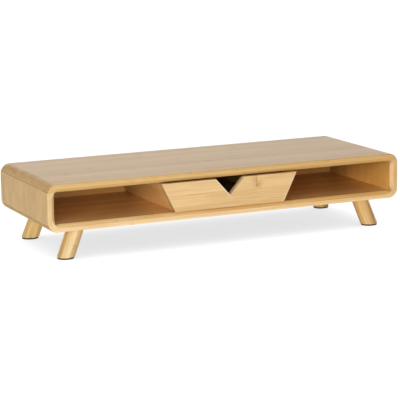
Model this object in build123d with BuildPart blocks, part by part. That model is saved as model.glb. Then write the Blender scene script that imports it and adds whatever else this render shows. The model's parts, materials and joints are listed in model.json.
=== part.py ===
from build123d import *
from math import atan, atan2, cos, degrees, hypot
import os

# Monitor stand with drawer, in millimetres.
# +X is the stand's width, +Y points to its back, +Z is up.
# The origin is on the floor, under the middle of the stand.

os.makedirs("parts", exist_ok=True)

# Casing
casing_width = 600.0
casing_depth = 220.0
casing_height = 72.5
leg_height = 46.5
board = 12.0
corner_radius = 15.5
outer_edge_radius = 2.0
mouth_chamfer = 5.0
mouth_corner_radius = 16.0

# Tongues of the side panels, stopped short of the front and the back
tongue_thickness = 3.5
tongue_depth = 4.5
tongue_inset = 5.0
tongue_stop = 12.0

# Back panel, held in a groove that runs round the four casing boards
back_panel_thickness = 6.0
back_recess = 10.0
back_groove_depth = 4.0

# Drawer front, a trapezoid that is wider at the top
front_bottom_width = 186.8
front_top_width = 231.7
front_height = 45.3
front_thickness = 10.0
front_floor_gap = 0.8
front_edge_radius = 0.8
notch_width = 48.5
notch_depth = 27.0

# Slanted dividers, housed in the top and bottom boards
divider_thickness = 8.0
divider_housing_depth = 3.5
divider_front_gap = 0.3
front_overhang = 1.0

# Drawer box behind the front
drawer_side_thickness = 8.0
drawer_side_height = 37.0
drawer_back_thickness = 8.0
drawer_back_rebate = 3.0
drawer_bottom_thickness = 4.0
drawer_bottom_lift = 4.0
drawer_bottom_groove = 4.0
drawer_side_clearance = 1.5
drawer_floor_clearance = 0.3
drawer_rear_clearance = 4.0

# Legs and their pads
leg_diameter = 26.0
leg_top_inset_x = 54.6
leg_top_inset_y = 30.1
leg_spread_x = 18.6
leg_spread_y = 2.1
leg_foot_chamfer = 1.0
pad_thickness = 2.0
pad_inset = 1.0

# Glued dowels, and the film of glue round them
glue_gap = 0.1
leg_dowel_diameter = 8.0
leg_dowel_in_board = 6.5
leg_dowel_in_leg = 14.5
drawer_dowel_diameter = 4.0
drawer_dowel_in_front = 5.5
drawer_dowel_in_side = 14.5
drawer_dowel_pitch = 14.0

# Depths and levels that follow from the sizes above
front_y = -casing_depth / 2
rear_y = casing_depth / 2
underside_z = leg_height
floor_z = underside_z + board
top_z = underside_z + casing_height
ceiling_z = top_z - board
casing_middle_z = (underside_z + top_z) / 2
inner_width = casing_width - 2 * board
inner_height = casing_height - 2 * board

back_panel_rear_y = rear_y - back_recess
back_panel_front_y = back_panel_rear_y - back_panel_thickness
front_back_y = front_y + front_thickness
front_bottom_z = floor_z + front_floor_gap
front_top_z = front_bottom_z + front_height

# The drawer's ends run outwards by this much for each millimetre of rise
slant = (front_top_width - front_bottom_width) / 2 / front_height
slant_angle = atan(slant)


def across(thickness):
    """Level width of a slanted board of the given thickness."""
    return thickness / cos(slant_angle)


# Where the outer faces of the slanted boards meet the level of the casing's floor
front_end_x = front_bottom_width / 2 - slant * front_floor_gap
divider_x = front_end_x - front_overhang
drawer_side_x = divider_x - across(divider_thickness + drawer_side_clearance)
drawer_inner_x = drawer_side_x - across(drawer_side_thickness)

divider_front_y = front_back_y + divider_front_gap
divider_length = back_panel_front_y - divider_front_y

drawer_low_z = floor_z + drawer_floor_clearance
drawer_high_z = drawer_low_z + drawer_side_height
drawer_rear_y = back_panel_front_y - drawer_rear_clearance
drawer_side_length = drawer_rear_y - front_back_y
drawer_back_front_y = drawer_rear_y - drawer_back_thickness

sides = {"left": -1, "right": 1}
ends = {"front": -1, "back": 1}


def upright(y):
    """Upright plane at depth y, with local axes along the width and the height."""
    return Plane.XZ.offset(-y)


def slanted_x(x_at_floor, z):
    """Half-width at level z of a slanted face that meets the casing's floor at x_at_floor."""
    return x_at_floor + slant * (z - floor_z)


def slanted_section(x_at_floor, thickness, low_z, high_z, side):
    """Four corners of a slanted board, from its outer face inwards."""
    low_x = slanted_x(x_at_floor, low_z)
    high_x = slanted_x(x_at_floor, high_z)
    width = across(thickness)
    return [
        (side * low_x, low_z),
        (side * high_x, high_z),
        (side * (high_x - width), high_z),
        (side * (low_x - width), low_z),
    ]


def finish(piece, name):
    """Name a finished piece and write it."""
    piece.label = name
    export_step(piece, f"parts/{name}.step")


# Back panel
back_panel_width = inner_width + 2 * back_groove_depth
back_panel_height = inner_height + 2 * back_groove_depth
with BuildPart() as back_panel:
    with BuildSketch(upright(back_panel_rear_y)):
        with Locations((0, casing_middle_z)):
            Rectangle(back_panel_width, back_panel_height)
    extrude(amount=back_panel_thickness)
finish(back_panel.part, "back_panel")

# Dividers, slanted outwards like the ends of the drawer
dividers = []
for side_name, side in sides.items():
    low_z = floor_z - divider_housing_depth
    high_z = ceiling_z + divider_housing_depth
    corners = slanted_section(divider_x, divider_thickness, low_z, high_z, side)
    with BuildPart() as divider:
        with BuildSketch(upright(back_panel_front_y)):
            with BuildLine():
                Polyline(*corners, close=True)
            make_face()
        extrude(amount=divider_length)
    finish(divider.part, f"divider_{side_name}")
    dividers.append(divider.part)

# Leg tops, set in from the edges of the casing, and the dowel that stands in each
leg_top_x = casing_width / 2 - leg_top_inset_x
leg_top_y = casing_depth / 2 - leg_top_inset_y


def leg_dowel_set(diameter):
    """One upright dowel at the middle of each leg's top."""
    with BuildPart() as dowel_set:
        with BuildSketch(Plane.XY.offset(underside_z - leg_dowel_in_leg)):
            with GridLocations(2 * leg_top_x, 2 * leg_top_y, 2, 2):
                Circle(diameter / 2)
        extrude(amount=leg_dowel_in_leg + leg_dowel_in_board)
    return dowel_set.part


finish(leg_dowel_set(leg_dowel_diameter), "leg_dowels")
leg_bores = leg_dowel_set(leg_dowel_diameter + 2 * glue_gap)

# Outer form that the four casing boards share, with its long edges rounded
with BuildPart() as casing_form:
    with BuildSketch(upright(rear_y)):
        with Locations((0, casing_middle_z)):
            RectangleRounded(casing_width, casing_height, corner_radius)
    extrude(amount=casing_depth)
    fillet(casing_form.faces().filter_by(Axis.Y).edges(), outer_edge_radius)

# Routed bevel round the mouth of the casing, widest at its front face
with BuildPart() as mouth_bevel:
    with BuildSketch(Plane((0, front_y, 0), x_dir=(-1, 0, 0), z_dir=(0, 1, 0))):
        with Locations((0, casing_middle_z)):
            RectangleRounded(
                inner_width + 2 * mouth_chamfer,
                inner_height + 2 * mouth_chamfer,
                mouth_corner_radius,
            )
    extrude(amount=mouth_chamfer, taper=45)

# Side panels, with a tongue up into the top board and one down into the bottom board
tongue_x = casing_width / 2 - tongue_inset - tongue_thickness / 2
side_panels = []
for side_name, side in sides.items():
    with BuildPart() as panel:
        with BuildSketch(upright(rear_y)):
            with Locations((side * (casing_width - board) / 2, casing_middle_z)):
                Rectangle(board, inner_height)
        extrude(amount=casing_depth)
        with BuildSketch(upright(rear_y - tongue_stop)):
            with Locations((side * tongue_x, casing_middle_z)):
                Rectangle(tongue_thickness, inner_height + 2 * tongue_depth)
        extrude(amount=casing_depth - 2 * tongue_stop)
        add(casing_form.part, mode=Mode.INTERSECT)
        add(mouth_bevel.part, mode=Mode.SUBTRACT)
        add(back_panel.part, mode=Mode.SUBTRACT)
    finish(panel.part, f"{side_name}_side_panel")
    side_panels.append(panel.part)

# Top and bottom boards, over the full width, so that their end grain shows at the round ends
for board_name, middle_z in {"top": top_z - board / 2, "bottom": underside_z + board / 2}.items():
    with BuildPart() as panel:
        with BuildSketch(upright(rear_y)):
            with Locations((0, middle_z)):
                Rectangle(casing_width, board)
        extrude(amount=casing_depth)
        add(casing_form.part, mode=Mode.INTERSECT)
        add(mouth_bevel.part, mode=Mode.SUBTRACT)
        add(back_panel.part, mode=Mode.SUBTRACT)
        add(dividers, mode=Mode.SUBTRACT)
        add(side_panels, mode=Mode.SUBTRACT)
        add(leg_bores, mode=Mode.SUBTRACT)
    finish(panel.part, f"{board_name}_panel")

# Legs, spread outwards to their feet, cut level at both ends, and the thin pads under them
leg_radius = leg_diameter / 2
leg_tilt = atan(hypot(leg_spread_x, leg_spread_y) / leg_height)
leg_blank_reach = leg_height + leg_diameter
pad_reach_out = leg_radius / cos(leg_tilt) - pad_inset
pad_reach_across = leg_radius - pad_inset
for end_name, end in ends.items():
    for side_name, side in sides.items():
        foot = Vector(side * (leg_top_x + leg_spread_x), end * (leg_top_y + leg_spread_y), 0)
        rise = Vector(-side * leg_spread_x, -end * leg_spread_y, leg_height)

        with BuildPart() as leg:
            with BuildSketch(Plane(foot, z_dir=rise)):
                Circle(leg_radius)
            extrude(amount=leg_blank_reach, both=True)
            split(bisect_by=Plane.XY.offset(pad_thickness), keep=Keep.TOP)
            split(bisect_by=Plane.XY.offset(underside_z), keep=Keep.BOTTOM)
            chamfer(leg.faces().sort_by(Axis.Z)[0].edges(), leg_foot_chamfer)
            add(leg_bores, mode=Mode.SUBTRACT)
        finish(leg.part, f"leg_{end_name}_{side_name}")

        pad_centre = foot + rise * (pad_thickness / leg_height)
        lean_heading = degrees(atan2(end * leg_spread_y, side * leg_spread_x))
        with BuildPart() as pad:
            with BuildSketch():
                with Locations((pad_centre.X, pad_centre.Y)):
                    Ellipse(pad_reach_out, pad_reach_across, rotation=lean_heading)
            extrude(amount=pad_thickness)
        finish(pad.part, f"foot_pad_{end_name}_{side_name}")

# Bottom board of the drawer, held in grooves of the front, sides and back
bottom_low_z = drawer_low_z + drawer_bottom_lift
bottom_high_z = bottom_low_z + drawer_bottom_thickness
bottom_middle_z = (bottom_low_z + bottom_high_z) / 2
bottom_half_width = slanted_x(drawer_inner_x, bottom_middle_z) + drawer_bottom_groove
bottom_rear_y = drawer_back_front_y + drawer_bottom_groove
bottom_length = bottom_rear_y - front_back_y + drawer_bottom_groove
with BuildPart() as drawer_bottom:
    with BuildSketch(upright(bottom_rear_y)):
        with Locations((0, bottom_middle_z)):
            Rectangle(2 * bottom_half_width, drawer_bottom_thickness)
    extrude(amount=bottom_length)
finish(drawer_bottom.part, "drawer_bottom")

# Dowels from the drawer front into the ends of the sides, clear of the bottom board
drawer_dowel_middle_z = (bottom_high_z + drawer_high_z) / 2


def drawer_dowel_set(diameter):
    """Two dowels along the depth in each side, one above the other."""
    levels = [drawer_dowel_middle_z - drawer_dowel_pitch / 2, drawer_dowel_middle_z + drawer_dowel_pitch / 2]
    half_side = across(drawer_side_thickness) / 2
    places = [
        (side * (slanted_x(drawer_side_x, z) - half_side), z)
        for side in sides.values()
        for z in levels
    ]
    with BuildPart() as dowel_set:
        with BuildSketch(upright(front_back_y + drawer_dowel_in_side)):
            with Locations(*places):
                Circle(diameter / 2)
        extrude(amount=drawer_dowel_in_side + drawer_dowel_in_front)
    return dowel_set.part


finish(drawer_dowel_set(drawer_dowel_diameter), "drawer_dowels")
drawer_bores = drawer_dowel_set(drawer_dowel_diameter + 2 * glue_gap)

# Drawer front with its finger notch
front_outline = [
    (-front_bottom_width / 2, front_bottom_z),
    (-front_top_width / 2, front_top_z),
    (-notch_width / 2, front_top_z),
    (0, front_top_z - notch_depth),
    (notch_width / 2, front_top_z),
    (front_top_width / 2, front_top_z),
    (front_bottom_width / 2, front_bottom_z),
]
with BuildPart() as drawer_front:
    with BuildSketch(upright(front_back_y)):
        with BuildLine():
            Polyline(*front_outline, close=True)
        make_face()
    extrude(amount=front_thickness)
    fillet(drawer_front.faces().sort_by(Axis.Y)[0].edges(), front_edge_radius)
    add(drawer_bottom.part, mode=Mode.SUBTRACT)
    add(drawer_bores, mode=Mode.SUBTRACT)
finish(drawer_front.part, "drawer_front")

# Drawer back, let into rebates at the rear ends of the sides
back_reach = drawer_inner_x + across(drawer_back_rebate)
back_low_x = slanted_x(back_reach, drawer_low_z)
back_high_x = slanted_x(back_reach, drawer_high_z)
back_outline = [
    (-back_low_x, drawer_low_z),
    (-back_high_x, drawer_high_z),
    (back_high_x, drawer_high_z),
    (back_low_x, drawer_low_z),
]
with BuildPart() as drawer_back:
    with BuildSketch(upright(drawer_rear_y)):
        with BuildLine():
            Polyline(*back_outline, close=True)
        make_face()
    extrude(amount=drawer_back_thickness)
    add(drawer_bottom.part, mode=Mode.SUBTRACT)
finish(drawer_back.part, "drawer_back")

# Drawer sides, parallel to the dividers that they slide between
for side_name, side in sides.items():
    corners = slanted_section(drawer_side_x, drawer_side_thickness, drawer_low_z, drawer_high_z, side)
    with BuildPart() as drawer_side:
        with BuildSketch(upright(drawer_rear_y)):
            with BuildLine():
                Polyline(*corners, close=True)
            make_face()
        extrude(amount=drawer_side_length)
        add(drawer_bottom.part, mode=Mode.SUBTRACT)
        add(drawer_back.part, mode=Mode.SUBTRACT)
        add(drawer_bores, mode=Mode.SUBTRACT)
    finish(drawer_side.part, f"drawer_side_{side_name}")
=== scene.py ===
import json
from math import atan, cos, radians, sin

import bmesh
import bpy
from mathutils import Matrix, Vector

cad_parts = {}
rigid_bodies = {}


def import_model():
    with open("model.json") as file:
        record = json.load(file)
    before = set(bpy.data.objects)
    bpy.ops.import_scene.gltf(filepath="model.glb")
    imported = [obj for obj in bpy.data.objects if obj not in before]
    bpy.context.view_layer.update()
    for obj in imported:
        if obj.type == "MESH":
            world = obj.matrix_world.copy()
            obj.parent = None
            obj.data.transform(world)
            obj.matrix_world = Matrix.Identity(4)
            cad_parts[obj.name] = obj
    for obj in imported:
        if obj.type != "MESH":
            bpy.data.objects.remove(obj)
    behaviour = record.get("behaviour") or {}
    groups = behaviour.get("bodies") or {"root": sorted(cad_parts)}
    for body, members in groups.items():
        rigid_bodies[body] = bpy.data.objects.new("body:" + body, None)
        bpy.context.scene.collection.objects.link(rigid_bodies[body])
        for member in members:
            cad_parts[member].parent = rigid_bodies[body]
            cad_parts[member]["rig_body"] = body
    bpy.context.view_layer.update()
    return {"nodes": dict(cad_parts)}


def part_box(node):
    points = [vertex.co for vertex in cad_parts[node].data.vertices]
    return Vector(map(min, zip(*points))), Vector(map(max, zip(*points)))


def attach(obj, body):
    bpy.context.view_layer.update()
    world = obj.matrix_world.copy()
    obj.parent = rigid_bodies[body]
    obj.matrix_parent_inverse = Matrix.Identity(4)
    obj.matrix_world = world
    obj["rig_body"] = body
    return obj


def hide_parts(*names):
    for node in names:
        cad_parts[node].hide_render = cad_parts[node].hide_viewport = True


# A bamboo monitor stand with a drawer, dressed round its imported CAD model. Sizes are in metres,
# except inside the materials, whose patterns are laid out in millimetres.

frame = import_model()
nodes = frame["nodes"]
bodies = {name: nodes[name]["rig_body"] for name in nodes}

# Small roundings that sanding leaves on the edges, their steps and their form
board_arris = 0.00025
leg_arris = 0.0003
pad_arris = 0.0004
wood_steps = 2
pad_steps = 3
round_profile = 0.5

# Limits for cleaning the CAD meshes
weld_distance = 2e-6
flat_angle = radians(0.3)
sharp_angle = radians(24)

# Places of the boards' faces and of the back panel's middle in millimetres, read from the frame
per_metre = 1000
top_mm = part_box("top_panel")[1].z * per_metre
ceiling_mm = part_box("top_panel")[0].z * per_metre
bottom_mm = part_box("bottom_panel")[1].z * per_metre
underside_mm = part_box("bottom_panel")[0].z * per_metre
right_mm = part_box("right_side_panel")[1].x * per_metre
front_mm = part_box("top_panel")[0].y * per_metre
back_mm = sum(corner.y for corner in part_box("back_panel")) * per_metre / 2
drawer_top_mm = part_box("drawer_front")[1].z * per_metre

# Slant of the dividers and drawer sides, as run over rise
slant = 0.49558
slant_angle = atan(slant)

# Grain and strip directions
X, Y, Z = Vector((1, 0, 0)), Vector((0, 1, 0)), Vector((0, 0, 1))
up_slant = Vector((sin(slant_angle), 0, cos(slant_angle)))
out_slant = Vector((cos(slant_angle), 0, -sin(slant_angle)))

# The legs, in millimetres: where the middle of a foot stands, how far a leg leans in, and its rise
foot_x, foot_y = 263.2, 81.91
lean_x, lean_y = 18.6, 2.1
leg_rise = 46.5


class Recipe:
    """The nodes of a material or of the world, added by short calls that return an output socket."""

    def __init__(self, owner, shader="Principled BSDF"):
        owner.use_nodes = True
        self.owner = owner
        self.tree = owner.node_tree
        self.shader = self.tree.nodes[shader]

    def feed(self, socket, value):
        if isinstance(value, bpy.types.NodeSocket):
            self.tree.links.new(value, socket)
        else:
            socket.default_value = value

    def give(self, name, value):
        """Feed the shader's own socket of that name."""
        self.feed(self.shader.inputs[name], value)

    def add(self, kind, output=0, **inputs):
        node = self.tree.nodes.new("ShaderNode" + kind)
        for key, value in inputs.items():
            self.feed(node.inputs[key], value)
        return node.outputs[output]

    def math(self, operation, *values):
        node = self.tree.nodes.new("ShaderNodeMath")
        node.operation = operation
        for socket, value in zip(node.inputs, values):
            self.feed(socket, value)
        return node.outputs[0]

    def plus(self, first, second):
        return self.math("ADD", first, second)

    def minus(self, first, second):
        return self.math("SUBTRACT", first, second)

    def over(self, first, second):
        return self.math("DIVIDE", first, second)

    def times(self, product, *factors):
        for factor in factors:
            product = self.math("MULTIPLY", product, factor)
        return product

    def size(self, value):
        return self.math("ABSOLUTE", value)

    def blend_in(self, value, factor, start):
        """start plus factor times value."""
        return self.math("MULTIPLY_ADD", value, factor, start)

    def marked(self, start, *marks):
        """start with each mark blended in, given as its value and its factor."""
        for value, factor in marks:
            start = self.blend_in(value, factor, start)
        return start

    def centred(self, value):
        return self.minus(value, 0.5)

    def vector(self, operation, *values, output=0):
        node = self.tree.nodes.new("ShaderNodeVectorMath")
        node.operation = operation
        for socket, value in zip(node.inputs, values):
            self.feed(socket, value)
        return node.outputs[output]

    def dot(self, vector, direction):
        return self.vector("DOT_PRODUCT", vector, tuple(direction), output="Value")

    def place_mm(self):
        """The point's place on the object, in millimetres."""
        place = self.vector("SCALE", self.add("TexCoord", "Object"))
        place.node.inputs["Scale"].default_value = per_metre
        return place

    def join(self, x, y, z):
        return self.add("CombineXYZ", X=x, Y=y, Z=z)

    def split(self, value, kind="XYZ"):
        node = self.tree.nodes.new("ShaderNodeSeparate" + kind)
        self.feed(node.inputs[0], value)
        return node.outputs

    def noise(self, x, y, z, detail, roughness=0.55):
        spot = self.join(x, y, z)
        return self.add("TexNoise", "Fac", Vector=spot, Scale=1.0, Detail=detail, Roughness=roughness)

    def smooth(self, value, low, high, to_low=0.0, to_high=1.0):
        """to_low where value is low, to_high where it is high, and a soft step between."""
        node = self.tree.nodes.new("ShaderNodeMapRange")
        node.interpolation_type = "SMOOTHSTEP"
        for socket, number in zip(node.inputs, (value, low, high, to_low, to_high)):
            self.feed(socket, number)
        return node.outputs["Result"]

    def bell(self, distance, width):
        """1 where distance is 0, falling smoothly to 0 past width."""
        return self.smooth(self.size(distance), 0.0, width, 1.0, 0.0)

    def edge_distance(self, share, length):
        """Distance to the nearer end of a repeat of that length, where share runs from 0 to 1 in it."""
        return self.times(self.minus(0.5, self.size(self.centred(share))), length)

    def mix(self, share, first, second, blend="MIX"):
        node = self.tree.nodes.new("ShaderNodeMix")
        node.data_type = "RGBA"
        node.blend_type = blend
        for key, value in (("Factor_Float", share), ("A_Color", first), ("B_Color", second)):
            socket = next(s for s in node.inputs if s.identifier == key)
            self.feed(socket, (*value, 1.0) if isinstance(value, tuple) else value)
        return next(s for s in node.outputs if s.identifier == "Result_Color")

    def tinted(self, colour, tint, share=1.0):
        """colour times tint, as far as share goes."""
        return self.mix(share, colour, tint, "MULTIPLY")

    def ramp(self, value, stops):
        node = self.tree.nodes.new("ShaderNodeValToRGB")
        band = node.color_ramp.elements
        while len(band) < len(stops):
            band.new(0.5)
        for element, (place, colour) in zip(band, stops):
            element.position = place
            element.color = (*colour, 1.0)
        self.feed(node.inputs[0], value)
        return node.outputs[0]


# The wood's colour by tone, and painted light and shade from the left end to the right one, paler at the
# left and deeper at the right
bamboo_tones = [
    (0.0, (0.360, 0.170, 0.042)),
    (0.3, (0.590, 0.335, 0.108)),
    (0.55, (0.740, 0.472, 0.185)),
    (0.8, (0.825, 0.570, 0.262)),
    (1.0, (0.880, 0.660, 0.360)),
]
left_painted_light = (1.00, 1.02, 1.06)
right_painted_shade = (0.96, 0.93, 0.87)
warm_share = 0.4
warm_tint = (0.96, 0.86, 0.70)
base_tone = 0.55

# Strips: how far each layer is staggered, in strips, how much one differs from the next, and what
# sets the noise of the left half and of each strip apart
layer_stagger = 0.41
strip_play = 0.24
half_apart = 3.7
strips_apart = 91.7

# Streaks of a strip, as scale along it, scale across it, detail and place in the noise, and how
# much each kind changes the tone
broad_streaks, broad_play = (0.007, 0.11, 2.0, 0.0), 0.42
middle_streaks, middle_play = (0.012, 0.42, 3.0, 5.0), 0.42
fine_streaks, fine_play = (0.030, 1.9, 3.0, 9.0), 0.34
pore_streaks, pore_play = (0.060, 3.4, 1.0, 13.0), -0.12
pores_from, pores_full = 0.16, 0.26
streak_roughness = 0.6
sway_along, sway_across, sway_reach = 0.015, 0.04, 3.0
soft_detail = 2.0

# Knots: their distance, the warmth from which a strip has them, how their line strays, the widths
# of line and halo, how far the halo is shifted, how both break up in the middle streaks, and how
# dark both are
knot_pitch = 240.0
knotty_from, knotty_full = 0.35, 0.55
stray_scale, stray_reach = 0.3, 4.0
knot_width, halo_width, halo_shift = 1.9, 7.0, 4.0
line_in_streaks = (-0.16, 0.14, 0.35, 1.0)
halo_in_streaks = (-0.15, 0.15)
knot_dark, halo_dark = 0.32, 0.16

# The scale of clouds over a whole board, the softness of the painted shade on a leg's flanks, and the glue
# lines between strips and between plies, as two distances and the strength at each of them
cloud_x, cloud_y, cloud_z = 0.045, 0.06, 0.03
flank_shade_softness = 2.0
strip_seam = (0.06, 0.42, 0.8, 0.0)
ply_seam = (0.05, 0.34, 1.0, 0.0)
seam_dark = 0.13
joint_width, joint_dark = 2.4, 0.25

# How squarely a face has to look along a direction, from none of the effect to all of it
joint_facing = (0.5, 0.7)
broad_facing = (0.8, 0.95)
edge_facing = (0.6, 0.7)
bevel_facing = (0.36, 0.46)
cut_facing = (0.15, 0.60)
straight_facing = (0.55, 0.90)
front_facing = (0.5, 0.8)

# End grain: the fibres' scale across and along the grain, their dots, and the tint of a square cut
fibre_across, fibre_along = 1.1, 0.04
dot_core, dot_rim = 0.10, 0.42
dot_colour = (0.60, 0.46, 0.32)
straight_tint = (0.96, 0.91, 0.77)

# Drawer front: half width and depth of its notch, half its width at the top, and the painted highlights
# along its edges, as pale lines each with its width and its strength on the left and on the right
notch_half, notch_depth = 24.25, 27.0
drawer_top_half = 115.85
highlight_colour = (0.90, 0.77, 0.58)
notch_highlight = (2.4, 1.0, 0.15)
side_highlight = (3.0, 0.0, 0.3)
middle_softness = 2.0

# Painted light on the notch's cut, paler at its front and fading toward the back: its width, its tint, and
# two distances from the front and the strengths there
notch_light_width = 1.0
notch_light_tint = (1.34, 1.50, 1.95)
notch_light_by_depth = (3.0, 10.0, 1.0, 0.2)

# The space of the compartments, on both sides from the stand's middle, the front and the floor to the
# walls, the back and the ceiling, where light and shade are painted on, and over how many millimetres the
# painted tone comes in
face_margin = 0.3
face_fade = 0.4
wall_inset = 11.5
mouth_from, mouth_full = 4.5, 10.0
inner_low = (0, front_mm, bottom_mm - face_margin)
inner_high = (right_mm - wall_inset, back_mm, ceiling_mm + face_margin)

# Painted shade on the boards of the compartments, as ramps from the floor up and from the front to the back
wall_shade_by_height = [(0.0, (1.10, 1.10, 1.10)), (1.0, (0.64, 0.62, 0.58))]
wall_shade_by_depth = [(0.0, (0.88, 0.88, 0.90)), (0.35, (1.0, 1.0, 1.0)), (0.6, (1.0, 1.0, 1.02)),
                 (0.98, (0.52, 0.48, 0.42))]
compartment_floor_shade_by_depth = [(0.0, (0.74, 0.74, 0.76)), (0.22, (0.76, 0.76, 0.78)), (0.42, (1.0, 1.0, 1.0)),
                  (0.66, (0.97, 0.97, 0.97)), (0.85, (0.78, 0.76, 0.72)), (1.0, (0.74, 0.72, 0.68))]

# Surface: the roughness of plain wood, what streaks and cuts add to it, the roughness of the lacquer,
# the grain's relief in metres, and what each mark adds to the relief
plain_rough, streak_rough, cut_rough = 0.36, 0.30, 0.14
coat_rough = 0.32
relief, relief_strength = 0.0001, 0.3
middle_relief, fine_relief, seam_relief, knot_relief = 0.8, 0.7, -0.45, 0.5


class Bamboo(Recipe):
    """The layout of laminated bamboo. along, across and through are the directions of the grain, of
    the strips' width and of the board's thickness. strip and layer are the strips' size, counted
    from origin. A mirrored one is laid out from the middle to both sides, with strips of their own."""

    def __init__(self, name, along, across, through, strip=20.0, layer=3.5, origin=(0, 0, 0),
                 seed=0.0, mirrored=False):
        super().__init__(bpy.data.materials.new(name))
        self.strip, self.layer, self.seed = strip, layer, seed
        spot = self.place_mm()
        self.x, self.y, self.z = self.split(spot)
        half = 0.0
        if mirrored:
            half = self.times(self.math("SIGN", self.x), half_apart)
            spot = self.join(self.size(self.x), self.y, self.z)
        spot = self.vector("SUBTRACT", spot, origin)
        self.u, self.v, self.w = [self.dot(spot, way) for way in (along, across, through)]

        # How squarely the surface looks along the grain, across it and through the board
        facing = self.add("TexCoord", "Normal")
        self.cutwise, self.edgewise, self.flatwise = [
            self.size(self.dot(facing, way)) for way in (along, across, through)]

        # Which layer and which strip a point lies in, and random numbers for that strip
        self.levels = self.over(self.w, layer)
        level = self.math("FLOOR", self.levels)
        self.rows = self.blend_in(level, layer_stagger, self.over(self.v, strip))
        self.row = self.math("FLOOR", self.rows)
        lot = self.join(self.row, level, self.plus(half, seed))
        chance = self.add("TexWhiteNoise", "Color", Vector=lot)
        self.pale, self.warm, self.slide = self.split(chance, "Color")
        self.jump = self.times(self.plus(self.pale, self.warm), strips_apart)

        # Streaks along the strip: broad, middle and fine ones, and the pores between the fibres
        sway = self.noise(self.times(self.u, sway_along), self.times(self.v, sway_across), self.jump,
                          soft_detail)
        self.swayed = self.blend_in(self.centred(sway), sway_reach, self.v)
        self.broad = self.streak(*broad_streaks)
        self.middle = self.streak(*middle_streaks)
        self.fine = self.streak(*fine_streaks)
        self.pores = self.smooth(self.streak(*pore_streaks), pores_from, pores_full)

    def streak(self, along_scale, across_scale, detail, offset):
        """Noise drawn out along the strip, round 0."""
        return self.centred(self.noise(
            self.blend_in(self.u, along_scale, self.plus(self.jump, offset)),
            self.times(self.swayed, across_scale), self.times(self.w, across_scale),
            detail, streak_roughness))

    def knot_marks(self, strength, knot_at):
        """The dark lines where a strip's culm had a joint, and the halo beside each."""
        if knot_at is None:
            turn = self.plus(self.over(self.u, knot_pitch), self.slide)
            gap = self.times(self.centred(self.math("FRACT", turn)), knot_pitch)
            knot = self.times(self.smooth(self.warm, knotty_from, knotty_full), strength)
        else:
            gap = self.minus(self.u, knot_at[0])
            row_middle = self.times(self.plus(self.row, 0.5), self.strip)
            knot = self.bell(self.minus(row_middle, knot_at[1]), self.strip / 2)
        stray = self.noise(self.times(self.v, stray_scale), self.times(self.w, stray_scale), self.jump,
                           soft_detail)
        gap = self.blend_in(self.centred(stray), stray_reach, gap)
        line = self.times(self.bell(gap, knot_width), self.smooth(self.middle, *line_in_streaks), knot)
        halo = self.times(self.bell(self.plus(gap, halo_shift), halo_width), knot,
                          self.smooth(self.middle, *halo_in_streaks))
        return line, halo

    def clouds(self):
        """Soft noise over the whole board, round 0."""
        return self.centred(self.noise(self.times(self.x, cloud_x), self.times(self.y, cloud_y),
                                       self.blend_in(self.z, cloud_z, self.seed), soft_detail))

    def eye(self, place_along, place_across, radius):
        """A round spot."""
        away = self.join(self.minus(self.u, place_along), self.minus(self.v, place_across), 0.0)
        return self.bell(self.vector("LENGTH", away, output="Value"), radius)

    def seams(self):
        """The glue lines between strips and between layers."""
        rows = self.edge_distance(self.math("FRACT", self.rows), self.strip)
        levels = self.edge_distance(self.math("FRACT", self.levels), self.layer)
        return self.math("MAXIMUM", self.smooth(rows, *strip_seam), self.smooth(levels, *ply_seam))

    def left_to_right(self, left, right):
        """A colour that changes from left to right over the stand's width."""
        return self.mix(self.smooth(self.x, -right_mm, right_mm), left, right)

    def end_grain(self, end_tint):
        """The tint of wood cut across its fibres, dotted with their ends."""
        fibres = self.join(self.times(self.v, fibre_across), self.times(self.w, fibre_across),
                           self.times(self.u, fibre_along))
        cell = self.add("TexVoronoi", "Distance", Vector=fibres, Scale=1.0)
        dots = self.smooth(cell, dot_core, dot_rim, 1.0, 0.0)
        tint = self.tinted(self.mix(dots, (1, 1, 1), dot_colour), end_tint)
        return self.tinted(tint, straight_tint, self.smooth(self.cutwise, *straight_facing))

    def drawer_edge_highlights(self, colour):
        """colour with painted highlights as pale lines along the notch and the sides, and with painted light
        on the notch's cut, paler at its front.
        """
        slope = atan(notch_half / notch_depth)
        from_notch = self.blend_in(self.size(self.u), cos(slope), -notch_depth * sin(slope))
        from_notch = self.blend_in(self.v, -sin(slope), from_notch)
        from_side = self.blend_in(self.size(self.u), cos(slant_angle), self.times(self.v, -sin(slant_angle)))
        from_side = self.minus(from_side, drawer_top_half * cos(slant_angle))
        frontal = self.smooth(self.flatwise, *front_facing)
        for away, (width, left, right) in ((from_notch, notch_highlight), (from_side, side_highlight)):
            by_side = self.smooth(self.u, -middle_softness, middle_softness, left, right)
            colour = self.mix(self.times(self.bell(away, width), frontal, by_side), colour, highlight_colour)
        # Painted light on the notch's cut face, strongest at the front and fading toward the back
        notch_light = self.times(self.bell(from_notch, notch_light_width), self.minus(1.0, frontal),
                            self.smooth(self.w, *notch_light_by_depth))
        return self.tinted(colour, notch_light_tint, notch_light)

    def with_painted_indoor_light(self, colour, tone, by_height, by_depth):
        """colour with painted light and shade laid on inside the compartments as tone, deepening up and back
        by its ramps.
        """
        inside = self.times(
            self.smooth(self.size(self.x), inner_high[0], inner_high[0] - face_fade),
            self.smooth(self.y, inner_low[1] + mouth_from, inner_low[1] + mouth_full),
            self.smooth(self.y, inner_high[1], inner_high[1] - face_fade),
            self.smooth(self.z, inner_low[2], inner_low[2] + face_fade),
            self.smooth(self.z, inner_high[2], inner_high[2] - face_fade))
        for coordinate, axis, stops in ((self.z, 2, by_height), (self.y, 1, by_depth)):
            if stops:
                reach = inner_high[axis] - inner_low[axis]
                share = self.blend_in(coordinate, 1 / reach, -inner_low[axis] / reach)
                tone = self.tinted(tone, self.ramp(share, stops))
        return self.tinted(colour, tone, inside)


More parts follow.
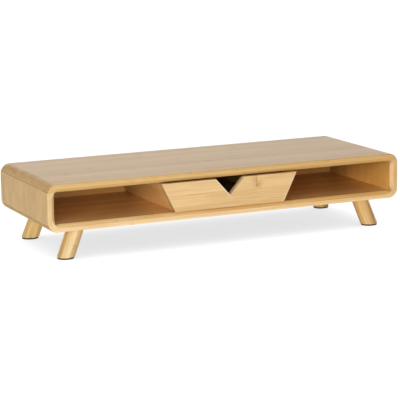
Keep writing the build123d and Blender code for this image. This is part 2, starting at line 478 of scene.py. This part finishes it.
def bamboo(name, along, across, through, knots=0.6, knot_at=None, spots=(), contrast=1.0, mottle=0.0,
           flank_shade=None, joint_level=None, tint=(1, 1, 1), broad_face_shade=None, edge_light_and_shade=None,
           bevel_light_and_shade=None, end_tint=(0.69, 0.66, 0.65), drawer_edge_highlights=False, indoor_light_and_shade=None,
           by_height=None, by_depth=None, gloss=0.08, coat=0.6, **layout):
    """Laminated bamboo, laid out as Bamboo says. Of its marks, knots is the strength of the scattered
    knots, or else knot_at places the one knot that shows, along the grain and across it. spots are
    eyes of that knot, as place along, place across, radius and strength. contrast scales streaks and
    strips, mottle is the strength of clouds, flank_shade gives the distance from the middle past which a
    leg is darker, painted shade on its round sides laid on as darker plies, and how much, and joint_level
    is the level through the board where it is glued onto the next one. Of its tints, tint is for the whole,
    broad_face_shade is painted shade on the faces, edge_light_and_shade painted light and shade on the long
    edges, bevel_light_and_shade painted light and shade on the chamfers between them at the left and the
    right end, and end_tint is for end grain. drawer_edge_highlights adds painted highlights as pale edges of
    the drawer front and painted light on its notch's cut. indoor_light_and_shade is painted light and shade
    inside the compartments, and by_height and by_depth are its ramps. gloss is the wood's own and
    coat the lacquer's, which cut ends have soaked up."""
    b = Bamboo(name, along, across, through, **layout)
    knot_line, knot_halo = b.knot_marks(knots, knot_at)
    tone = b.marked(
        base_tone,
        (b.centred(b.pale), strip_play * contrast), (b.broad, broad_play * contrast),
        (b.middle, middle_play * contrast), (b.fine, fine_play * contrast),
        (b.pores, pore_play * contrast), (knot_line, -knot_dark), (knot_halo, -halo_dark))
    if mottle:
        tone = b.blend_in(b.clouds(), mottle, tone)
    # Painted shade on a leg's round sides, laid on as darker plies past a distance from its middle
    if flank_shade:
        start, depth = flank_shade
        outer = b.smooth(b.size(b.v), start - flank_shade_softness, start + flank_shade_softness)
        tone = b.blend_in(outer, -depth, tone)
    for *place_and_radius, strength in spots:
        tone = b.blend_in(b.eye(*place_and_radius), -strength, tone)
    seam = b.seams()
    tone = b.blend_in(seam, -seam_dark, tone)
    if joint_level is not None:
        joint = b.times(b.bell(b.minus(b.w, joint_level), joint_width), b.smooth(b.cutwise, *joint_facing))
        tone = b.blend_in(joint, -joint_dark, tone)

    colour = b.ramp(tone, bamboo_tones)
    colour = b.tinted(colour, warm_tint, b.times(b.warm, warm_share))
    # Each piece's tint, with painted light and shade across the width: paler toward the left end, deeper
    # toward the right
    colour = b.tinted(colour, b.tinted(b.left_to_right(left_painted_light, right_painted_shade), tint))
    # Painted shade on the broad faces, darker than the edges
    if broad_face_shade:
        colour = b.tinted(colour, broad_face_shade, b.smooth(b.flatwise, *broad_facing))
    # Painted light and shade on the long edges: deeper on the top board's front edge and its chamfer, paler
    # on the bottom board's
    if edge_light_and_shade:
        colour = b.tinted(colour, edge_light_and_shade, b.smooth(b.edgewise, *edge_facing))
    # Painted light and shade on the chamfers, changing from the left end to the right: on the side boards
    # shaded at the left and lit at the right, on the bottom board deeper toward the right
    if bevel_light_and_shade:
        bevel = b.smooth(b.times(b.edgewise, b.flatwise), *bevel_facing)
        colour = b.tinted(colour, b.left_to_right(*bevel_light_and_shade), bevel)
    cut = b.smooth(b.cutwise, *cut_facing)
    colour = b.tinted(colour, b.end_grain(end_tint), cut)
    # Painted highlights along the drawer front's edges and painted light on its notch's cut
    if drawer_edge_highlights:
        colour = b.drawer_edge_highlights(colour)
    # Painted light and shade inside the compartments: each board lighter or darker there, and darker toward
    # the ceiling and the back
    if indoor_light_and_shade:
        colour = b.with_painted_indoor_light(colour, indoor_light_and_shade, by_height, by_depth)
    b.give("Base Color", colour)

    b.give("Roughness", b.marked(plain_rough, (b.middle, streak_rough), (cut, cut_rough)))
    b.give("Specular IOR Level", gloss)
    if coat:
        b.give("Coat Weight", b.blend_in(cut, -coat, coat))
        b.give("Coat Roughness", coat_rough)
    height = b.marked(b.times(b.fine, fine_relief), (b.middle, middle_relief), (seam, seam_relief),
                      (knot_line, knot_relief))
    b.give("Normal", b.add("Bump", "Normal", Strength=relief_strength, Distance=relief, Height=height))
    return b.owner


def rubber(name):
    """Dark felted rubber of the pads."""
    r = Recipe(bpy.data.materials.new(name))
    speck = r.add("TexNoise", "Fac", Vector=r.place_mm(), Scale=1.6, Detail=4.0, Roughness=0.6)
    r.give("Base Color", r.ramp(speck, [(0.3, (0.010, 0.008, 0.006)), (0.7, (0.035, 0.028, 0.022))]))
    r.give("Roughness", r.blend_in(speck, 0.2, 0.6))
    r.give("Normal", r.add("Bump", "Normal", Strength=0.4, Distance=relief, Height=speck))
    return r.owner


# Painted shade: the drawer's box is darker than its front, as it lies in the drawer's shade
drawer_box_shade = (0.90, 0.86, 0.80)
# Inside the compartments, each board below gets its own tint of painted light and shade
finishes = {
    # The top board: its long edges and their chamfers darker, painted shade
    "top_panel": bamboo(
        "bamboo_top", X, Y, Z, strip=20.5, origin=(0, 3, top_mm), seed=1.0, contrast=0.6, mottle=0.10,
        tint=(1.03, 1.085, 1.28), edge_light_and_shade=(0.84, 0.79, 0.64), end_tint=(0.73, 0.72, 0.77),
        joint_level=-12.0, indoor_light_and_shade=(0.925, 0.795, 0.56)),
    # The bottom board: its end grain darker than the top's, partly its grain and partly painted shade on its
    # rounded ends, which face down; its long edges paler, painted light
    "bottom_panel": bamboo(
        "bamboo_bottom", X, Y, Z, strip=20.5, origin=(0, 9, underside_mm), seed=2.0,
        tint=(1.06, 1.14, 1.40), end_tint=(0.555, 0.53, 0.42), edge_light_and_shade=(1.04, 1.07, 1.14),
        bevel_light_and_shade=((1.02, 0.98, 0.90), (1.02, 0.90, 0.66)),
        indoor_light_and_shade=(1.08, 0.94, 0.68), by_depth=compartment_floor_shade_by_depth),
    # The side boards' broad faces are darker than their front edges: painted shade
    "side_panel": bamboo(
        "bamboo_side", Z, Y, X, strip=22.0, origin=(right_mm, 4, 0), seed=3.0, mirrored=True,
        contrast=0.28, mottle=0.36, knots=0.3, gloss=0.12, coat=0.0,
        tint=(1.0, 1.12, 1.48), broad_face_shade=(0.803, 0.75, 0.60),
        bevel_light_and_shade=((0.92, 0.85, 0.70), (1.14, 1.06, 1.12)),
        indoor_light_and_shade=(1.62, 1.38, 0.945), by_height=wall_shade_by_height, by_depth=wall_shade_by_depth),
    "back_panel": bamboo(
        "bamboo_back", X, Z, Y, strip=19.0, layer=3.0, seed=4.0, tint=(1.03, 1.08, 1.20),
        indoor_light_and_shade=(1.25, 1.06, 0.73)),
    "divider": bamboo(
        "bamboo_divider", Y, up_slant, out_slant, strip=18.0, layer=4.0, seed=5.0, mirrored=True,
        tint=(1.18, 1.14, 1.10),
        indoor_light_and_shade=(1.16, 1.17, 1.17), by_height=wall_shade_by_height, by_depth=wall_shade_by_depth),
    "drawer_front": bamboo(
        "bamboo_front", X, Z, Y, strip=19.5, origin=(0, front_mm, drawer_top_mm), seed=7.0,
        knot_at=(45.0, -10.0), tint=(1.04, 1.13, 1.43), drawer_edge_highlights=True,
        spots=((44.8, -8.0, 4.0, 0.15), (46.2, -15.0, 6.0, 0.22), (50.5, -12.0, 8.5, 0.16),
               (40.5, -9.0, 7.0, 0.09), (51.0, -18.5, 6.0, 0.10))),
    "drawer_side": bamboo(
        "bamboo_drawer_side", Y, up_slant, out_slant, strip=18.0, layer=4.0, seed=8.0, mirrored=True,
        tint=drawer_box_shade),
    "drawer_back": bamboo(
        "bamboo_drawer_back", X, Z, Y, strip=18.0, layer=4.0, seed=9.0, tint=drawer_box_shade),
    # The drawer's bottom is much darker still: painted shade inside the drawer
    "drawer_bottom": bamboo(
        "bamboo_drawer_bottom", Y, X, Z, strip=20.0, layer=2.0, seed=10.0, tint=(0.52, 0.47, 0.43)),
    "foot_pad": rubber("foot_rubber_matt"),
    "dowels": bamboo("dowel_wood_plain", Z, X, Y, strip=4.0, layer=4.0, seed=11.0),
}

# Each leg's own turn of its plies in degrees, seed and tint. The tints are painted light and shade: paler on
# the front left leg, where the key light falls, and darker on the back right leg, in the stand's shade; the
# turn sets where the painted shade of the flanks falls
leg_plies_and_painted_light = {
    "leg_front_left": (24, 30.0, (1.03, 1.20, 1.62)),
    "leg_front_right": (20, 71.0, (0.94, 0.99, 1.13)),
    "leg_back_left": (28, 22.0, (0.97, 1.12, 1.28)),
    "leg_back_right": (24, 23.0, (0.72, 0.72, 0.74)),
}
for leg, (ply_turn, seed, tint) in leg_plies_and_painted_light.items():
    to_right = 1 if "right" in leg else -1
    to_back = 1 if "back" in leg else -1
    axis = Vector((-lean_x * to_right, -lean_y * to_back, leg_rise)).normalized()
    plies = axis.cross(Vector((cos(radians(ply_turn)), -sin(radians(ply_turn)), 0))).normalized()
    finishes[leg] = bamboo("bamboo_" + leg, axis, plies.cross(axis), plies, strip=6.5, layer=7.0,
                           origin=(foot_x * to_right, foot_y * to_back, 0), seed=seed,
                           contrast=1.5, gloss=0.1, coat=0.0, tint=tint, flank_shade=(7.5, 0.24))


def finish_of(node):
    return next(finishes[part] for part in finishes if part in node)


def arris_of(node):
    """How far the edges of a piece are rounded, and in how many steps."""
    if node.startswith("leg"):
        return leg_arris, wood_steps
    if node.startswith("foot_pad"):
        return pad_arris, pad_steps
    return board_arris, wood_steps


def eased(node, arris, steps):
    """A new piece with a CAD node's shape, its flat faces whole and its sharp edges rounded by arris."""
    form = bmesh.new()
    form.from_mesh(nodes[node].data)
    bmesh.ops.remove_doubles(form, verts=form.verts, dist=weld_distance)
    bmesh.ops.dissolve_limit(form, angle_limit=flat_angle, verts=form.verts, edges=form.edges)
    sharp = [edge for edge in form.edges if edge.calc_face_angle(0.0) > sharp_angle]
    bmesh.ops.bevel(form, geom=sharp, offset=arris, offset_type="OFFSET", segments=steps,
                    profile=round_profile, affect="EDGES", clamp_overlap=True)
    mesh = bpy.data.meshes.new(node + "_dressed")
    form.to_mesh(mesh)
    form.free()
    mesh.shade_smooth()
    piece = bpy.data.objects.new(node + "_dressed", mesh)
    bpy.context.scene.collection.objects.link(piece)
    weighted = piece.modifiers.new("flat_faces_first", "WEIGHTED_NORMAL")
    weighted.mode = "FACE_AREA_WITH_ANGLE"
    return piece


# The dowels are hidden, and stay as they are under the wood's material
for node in sorted(nodes):
    if node.endswith("dowels"):
        nodes[node].data.materials[0] = finish_of(node)
        continue
    piece = eased(node, *arris_of(node))
    piece.data.materials.append(finish_of(node))
    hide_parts(node)
    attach(piece, bodies[node])

# Camera, at the photograph's place
camera_place = (-1.1221, -2.46296, 0.57376)
camera_heading = radians(24.4534)
camera_dip = radians(10.9292)
camera_roll = radians(-0.8101)
camera_lens = 154.189
camera_sensor = 36.0
camera_reach = 100


def camera_turn():
    """The camera's axes, right, up and back, as the columns of a turn."""
    ahead = Vector((sin(camera_heading) * cos(camera_dip), cos(camera_heading) * cos(camera_dip),
                    -sin(camera_dip)))
    right = Vector((cos(camera_heading), -sin(camera_heading), 0))
    up = right.cross(ahead)
    rolled_right = right * cos(camera_roll) + up * sin(camera_roll)
    rolled_up = up * cos(camera_roll) - right * sin(camera_roll)
    return Matrix((rolled_right, rolled_up, -ahead)).transposed().to_4x4()


camera_data = bpy.data.cameras.new("photo_camera")
camera_data.lens = camera_lens
camera_data.sensor_width = camera_sensor
camera_data.clip_end = camera_reach
camera = bpy.data.objects.new("photo_camera", camera_data)
camera.matrix_world = Matrix.Translation(camera_place) @ camera_turn()
bpy.context.scene.collection.objects.link(camera)
bpy.context.scene.camera = camera

# Floor, pale and shining by itself, a little less where the stand stands over it
floor_half = 20.0
floor_cells = 8
floor_light = 1.06
floor_shade = 0.755
shade_reach = 1.0
shade_from, shade_full = 0.60, 0.05
floor_mesh = bpy.data.meshes.new("floor")
form = bmesh.new()
bmesh.ops.create_grid(form, x_segments=floor_cells, y_segments=floor_cells, size=floor_half)
form.to_mesh(floor_mesh)
form.free()
floor = bpy.data.objects.new("floor", floor_mesh)
bpy.context.scene.collection.objects.link(floor)
pale = Recipe(bpy.data.materials.new("pale_floor"))
openness = pale.add("AmbientOcclusion", "AO", Distance=shade_reach)
pale.give("Base Color", (0, 0, 0, 1))
pale.give("Roughness", 1.0)
pale.give("Specular IOR Level", 0.0)
pale.give("Emission Color", (1, 1, 1, 1))
pale.give("Emission Strength", pale.smooth(openness, shade_full, shade_from, floor_shade, floor_light))
pale.owner.cycles.emission_sampling = "NONE"
floor_mesh.materials.append(pale.owner)

# World, bright up to a little over the horizon, more so behind the stand, and dark overhead
ring_light = 1.38
ring_rise = 0.28
ring_top, dark_from = 0.17, 0.27
bright, dim = (1.0, 1.0, 1.0), (0.06, 0.06, 0.06)
bpy.context.scene.world = bpy.data.worlds.new("studio")
sky = Recipe(bpy.context.scene.world, "Background")
sky_y, sky_z = sky.split(sky.add("TexCoord", "Generated"))[1:]
sky.give("Color", sky.ramp(sky_z, [(0.0, bright), (ring_top, bright), (dark_from, dim)]))
sky.give("Strength", sky.blend_in(sky_y, ring_rise, ring_light))

# Soft lights, all turned to the middle of the stand
stand_middle = Vector((0, 0, 0.06))


def softbox(name, place, width, height, power):
    """A flat rectangular light at place that faces the stand."""
    data = bpy.data.lights.new(name, "AREA")
    data.shape = "RECTANGLE"
    data.size = width
    data.size_y = height
    data.energy = power
    lamp = bpy.data.objects.new(name, data)
    lamp.location = place
    lamp.rotation_euler = (stand_middle - Vector(place)).to_track_quat("-Z", "Y").to_euler()
    lamp.visible_glossy = False
    bpy.context.scene.collection.objects.link(lamp)


softbox("key_softbox", (-1.4, -1.7, 0.5), width=1.2, height=0.8, power=18.6)
softbox("front_top_softbox", (-0.3, -0.7, 1.4), width=1.4, height=1.2, power=7.3)
softbox("back_top_softbox", (0, 0.5, 1.8), width=1.5, height=1.5, power=10)

bpy.context.scene.view_settings.view_transform = "Standard"
